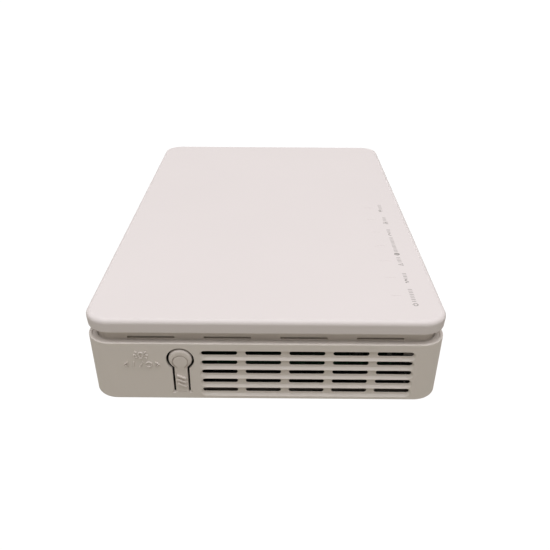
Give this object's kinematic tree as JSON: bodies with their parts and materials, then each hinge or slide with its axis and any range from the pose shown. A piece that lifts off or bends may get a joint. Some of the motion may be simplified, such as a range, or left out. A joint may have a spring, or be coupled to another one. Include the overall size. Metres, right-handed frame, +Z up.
{
  "type": "optical network terminal",
  "caption": "Flat white fibre network terminal: floating lid over a recessed vented neck, louvred end walls, sprung light button, sockets along the rear.",
  "frame": {"origin": "middle of the resting plane, under the four feet", "axes": "+X to the indicator edge, +Y from the light-button side to the far side, +Z up"},
  "size_m": [0.11, 0.1751, 0.0302],
  "materials": {
    "cover_white": "satin, very fine grain",
    "housing_white": "satin, fine grain",
    "button_white": "satin",
    "board_green": "solder resist",
    "chip_black": "moulded",
    "socket_black": "moulded",
    "socket_grey": "moulded",
    "adapter_green": "moulded",
    "tin_plate": "tinned, dull",
    "aluminium_fin": "anodised",
    "capacitor_sleeve": "shrink sleeve",
    "ferrite_grey": "fired ferrite",
    "led_lens": "clear resin",
    "clear_acrylic": "clear, polished",
    "antenna_board": "solder resist",
    "coax_jacket": "extruded",
    "zinc_screw": "zinc plated",
    "foot_rubber": "matt",
    "label_film": "blank film"
  },
  "bodies": {
    "terminal": {"antenna_1": "antenna_board", "antenna_2": "antenna_board", "antenna_lead_1": "coax_jacket", "antenna_lead_2": "coax_jacket", "board_screw_1": "zinc_screw", "board_screw_2": "zinc_screw", "board_screw_3": "zinc_screw", "board_screw_4": "zinc_screw", "capacitor_1": "capacitor_sleeve", "capacitor_2": "capacitor_sleeve", "capacitor_3": "capacitor_sleeve", "case_screw_1": "zinc_screw", "case_screw_2": "zinc_screw", "case_screw_3": "zinc_screw", "case_screw_4": "zinc_screw", "fibre_adapter": "adapter_green", "flash_chip": "chip_black", "foot_1": "foot_rubber", "foot_2": "foot_rubber", "foot_3": "foot_rubber", "foot_4": "foot_rubber", "heatsink": "aluminium_fin", "lan_socket_1": "socket_black", "lan_socket_2": "socket_black", "lan_socket_3": "socket_black", "lan_socket_4": "socket_black", "lan_transformer_1": "chip_black", "lan_transformer_2": "chip_black", "light_guide": "clear_acrylic", "light_switch": "chip_black", "lower_housing": "housing_white", "main_board": "board_green", "main_processor": "chip_black", "memory_chip": "chip_black", "optical_module": "tin_plate", "power_coil_1": "ferrite_grey", "power_coil_2": "ferrite_grey", "power_jack": "socket_black", "power_switch": "chip_black", "radio_shield_1": "tin_plate", "radio_shield_2": "tin_plate", "rating_label": "label_film", "reset_switch": "tin_plate", "status_led_1": "led_lens", "status_led_2": "led_lens", "status_led_3": "led_lens", "status_led_4": "led_lens", "status_led_5": "led_lens", "status_led_6": "led_lens", "status_led_7": "led_lens", "telephone_line_chip": "chip_black", "telephone_socket": "socket_grey", "top_cover": "cover_white", "vent_frame": "housing_white"},
    "light_button": {"light_button": "button_white"},
    "light_switch_plunger": {"light_switch_plunger": "button_white"},
    "power_button": {"power_button": "button_white"},
    "reset_button": {"reset_button": "chip_black"},
    "fibre_shutter": {"fibre_shutter": "socket_black"}
  },
  "joints": [
    {"name": "light_button_bend", "type": "hinge", "parent": "terminal", "child": "light_button", "pos_m": [-0.02615, -0.08539, 0.00347], "axis": [-1, 0, 0], "range_deg": [0, 3], "stiffness_Nm_per_rad": 0.1},
    {"name": "light_switch_push", "type": "slide", "parent": "terminal", "child": "light_switch_plunger", "axis": [0, 1, 0], "range_m": [0, 0.0005]},
    {"name": "power_button_push", "type": "slide", "parent": "terminal", "child": "power_button", "axis": [1, 0, 0], "range_m": [0, 0.0015], "stiffness_N_per_m": 150},
    {"name": "reset_button_push", "type": "slide", "parent": "terminal", "child": "reset_button", "axis": [1, 0, 0], "range_m": [0, 0.0003], "stiffness_N_per_m": 200},
    {"name": "fibre_shutter_swing", "type": "hinge", "parent": "terminal", "child": "fibre_shutter", "pos_m": [-0.0544, 0.062, 0.0184], "axis": [0, 1, 0], "range_deg": [0, 85], "stiffness_Nm_per_rad": 0.002}
  ],
  "couplings": [
    {"joint": "light_switch_push", "follows": "light_button_bend", "m_per_rad": 0.006725}
  ]
}
